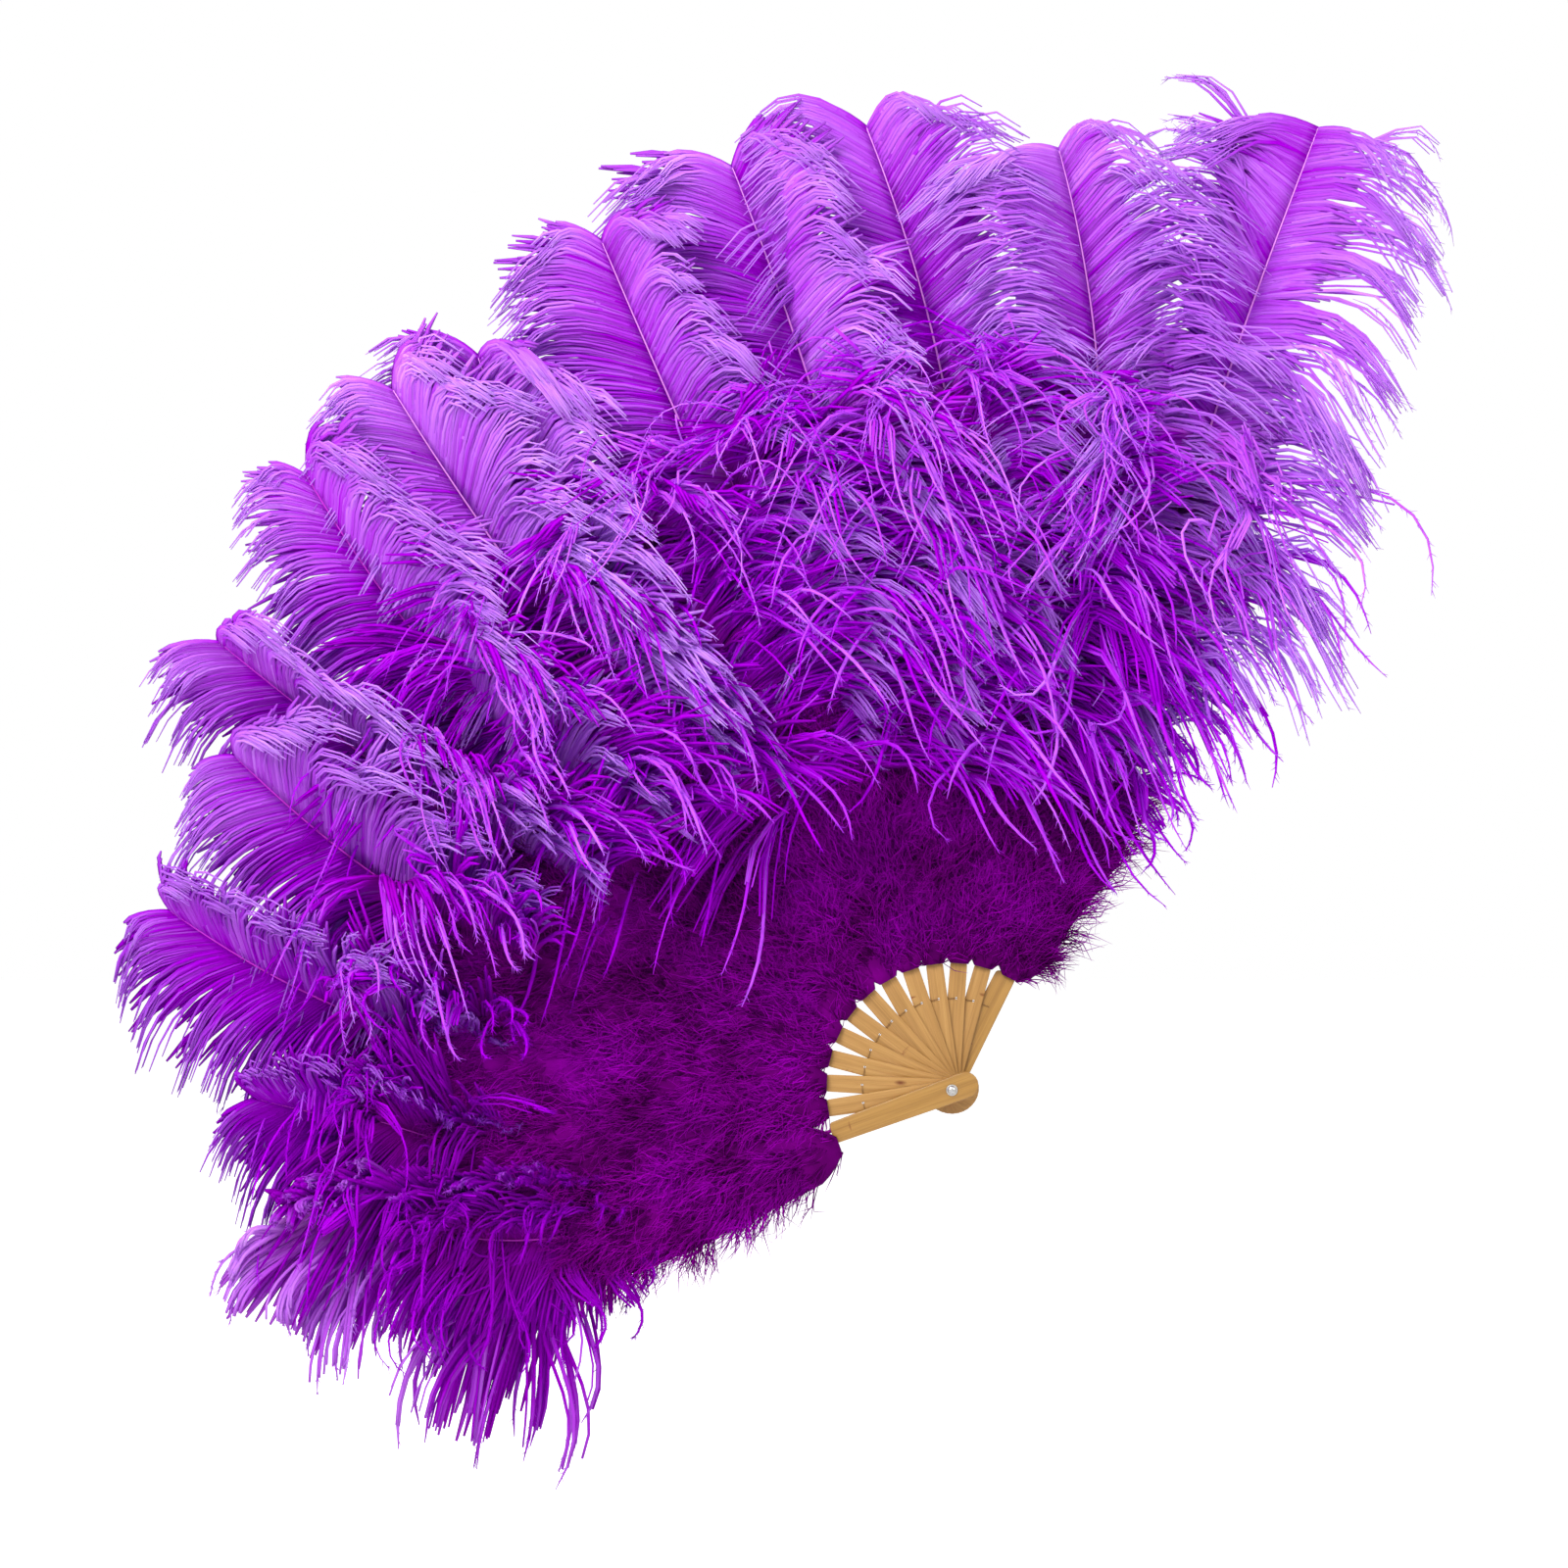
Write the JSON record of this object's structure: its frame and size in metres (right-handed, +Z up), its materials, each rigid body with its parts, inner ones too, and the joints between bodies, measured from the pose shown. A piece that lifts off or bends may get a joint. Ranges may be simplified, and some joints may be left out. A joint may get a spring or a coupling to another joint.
{
  "type": "folding ostrich feather fan",
  "caption": "Large folding hand fan of long and short ostrich plumes over marabou down, on flat bamboo sticks that swing on one steel rivet",
  "frame": {"origin": "on the rivet's axis, at the rear face of the rear guard, where the hand holds the fan", "axes": "+Z up as the fan is held, +X to the viewer's right, -Y towards the viewer; the rivet runs along Y and the open fan leans 41.5 degrees to the left"},
  "size_m": [1.0081, 0.1453, 1.0314],
  "materials": {
    "bamboo": "smooth planed bamboo",
    "guard_bamboo": "polished bamboo",
    "steel": "plain steel",
    "cotton": "waxed thread",
    "long_plume": "dyed ostrich barbs",
    "short_plume": "dyed ostrich barbs",
    "marabou": "dyed marabou down"
  },
  "bodies": {
    "front_leaf": {"front_guard": "guard_bamboo", "outer_plume_01": "long_plume", "inner_plume_01": "short_plume", "marabou_01": "marabou"},
    "leaf_02": {"stave_02": "bamboo", "outer_plume_02": "long_plume", "inner_plume_02": "short_plume", "marabou_02": "marabou"},
    "leaf_03": {"stave_03": "bamboo", "outer_plume_03": "long_plume", "inner_plume_03": "short_plume", "marabou_03": "marabou"},
    "leaf_04": {"stave_04": "bamboo", "outer_plume_04": "long_plume", "inner_plume_04": "short_plume", "marabou_04": "marabou"},
    "leaf_05": {"stave_05": "bamboo", "outer_plume_05": "long_plume", "inner_plume_05": "short_plume", "marabou_05": "marabou"},
    "leaf_06": {"stave_06": "bamboo", "outer_plume_06": "long_plume", "inner_plume_06": "short_plume", "marabou_06": "marabou"},
    "leaf_07": {"stave_07": "bamboo", "outer_plume_07": "long_plume", "inner_plume_07": "short_plume", "marabou_07": "marabou"},
    "leaf_08": {"stave_08": "bamboo", "outer_plume_08": "long_plume", "inner_plume_08": "short_plume", "marabou_08": "marabou"},
    "leaf_09": {"stave_09": "bamboo", "outer_plume_09": "long_plume", "inner_plume_09": "short_plume", "marabou_09": "marabou"},
    "leaf_10": {"stave_10": "bamboo", "outer_plume_10": "long_plume", "inner_plume_10": "short_plume", "marabou_10": "marabou"},
    "leaf_11": {"stave_11": "bamboo", "outer_plume_11": "long_plume", "inner_plume_11": "short_plume", "marabou_11": "marabou"},
    "leaf_12": {"stave_12": "bamboo", "outer_plume_12": "long_plume", "inner_plume_12": "short_plume", "marabou_12": "marabou"},
    "rear_leaf": {"rear_guard": "guard_bamboo", "outer_plume_13": "long_plume", "inner_plume_13": "short_plume", "marabou_13": "marabou", "rivet_pin": "steel", "front_washer": "steel", "rear_washer": "steel", "tie_thread": "cotton"}
  },
  "joints": [
    {"name": "front_guard_swing", "type": "hinge", "parent": "rear_leaf", "child": "front_leaf", "pos_m": [0, 0, 0], "axis": [0, 1, 0], "range_deg": [0, 137], "deforming": ["tie_thread"]},
    {"name": "stave_02_swing", "type": "hinge", "parent": "rear_leaf", "child": "leaf_02", "pos_m": [0, 0, 0], "axis": [0, 1, 0], "range_deg": [0, 125.59]},
    {"name": "stave_03_swing", "type": "hinge", "parent": "rear_leaf", "child": "leaf_03", "pos_m": [0, 0, 0], "axis": [0, 1, 0], "range_deg": [0, 114.18]},
    {"name": "stave_04_swing", "type": "hinge", "parent": "rear_leaf", "child": "leaf_04", "pos_m": [0, 0, 0], "axis": [0, 1, 0], "range_deg": [0, 102.76]},
    {"name": "stave_05_swing", "type": "hinge", "parent": "rear_leaf", "child": "leaf_05", "pos_m": [0, 0, 0], "axis": [0, 1, 0], "range_deg": [0, 91.34]},
    {"name": "stave_06_swing", "type": "hinge", "parent": "rear_leaf", "child": "leaf_06", "pos_m": [0, 0, 0], "axis": [0, 1, 0], "range_deg": [0, 79.93]},
    {"name": "stave_07_swing", "type": "hinge", "parent": "rear_leaf", "child": "leaf_07", "pos_m": [0, 0, 0], "axis": [0, 1, 0], "range_deg": [0, 68.51]},
    {"name": "stave_08_swing", "type": "hinge", "parent": "rear_leaf", "child": "leaf_08", "pos_m": [0, 0, 0], "axis": [0, 1, 0], "range_deg": [0, 57.09]},
    {"name": "stave_09_swing", "type": "hinge", "parent": "rear_leaf", "child": "leaf_09", "pos_m": [0, 0, 0], "axis": [0, 1, 0], "range_deg": [0, 45.68]},
    {"name": "stave_10_swing", "type": "hinge", "parent": "rear_leaf", "child": "leaf_10", "pos_m": [0, 0, 0], "axis": [0, 1, 0], "range_deg": [0, 34.26]},
    {"name": "stave_11_swing", "type": "hinge", "parent": "rear_leaf", "child": "leaf_11", "pos_m": [0, 0, 0], "axis": [0, 1, 0], "range_deg": [0, 22.84]},
    {"name": "stave_12_swing", "type": "hinge", "parent": "rear_leaf", "child": "leaf_12", "pos_m": [0, 0, 0], "axis": [0, 1, 0], "range_deg": [0, 11.43]}
  ],
  "couplings": [
    {"joint": "stave_02_swing", "follows": "front_guard_swing", "ratio": 0.91667},
    {"joint": "stave_03_swing", "follows": "front_guard_swing", "ratio": 0.83333},
    {"joint": "stave_04_swing", "follows": "front_guard_swing", "ratio": 0.75},
    {"joint": "stave_05_swing", "follows": "front_guard_swing", "ratio": 0.66667},
    {"joint": "stave_06_swing", "follows": "front_guard_swing", "ratio": 0.58333},
    {"joint": "stave_07_swing", "follows": "front_guard_swing", "ratio": 0.5},
    {"joint": "stave_08_swing", "follows": "front_guard_swing", "ratio": 0.41667},
    {"joint": "stave_09_swing", "follows": "front_guard_swing", "ratio": 0.33333},
    {"joint": "stave_10_swing", "follows": "front_guard_swing", "ratio": 0.25},
    {"joint": "stave_11_swing", "follows": "front_guard_swing", "ratio": 0.16667},
    {"joint": "stave_12_swing", "follows": "front_guard_swing", "ratio": 0.083333}
  ]
}
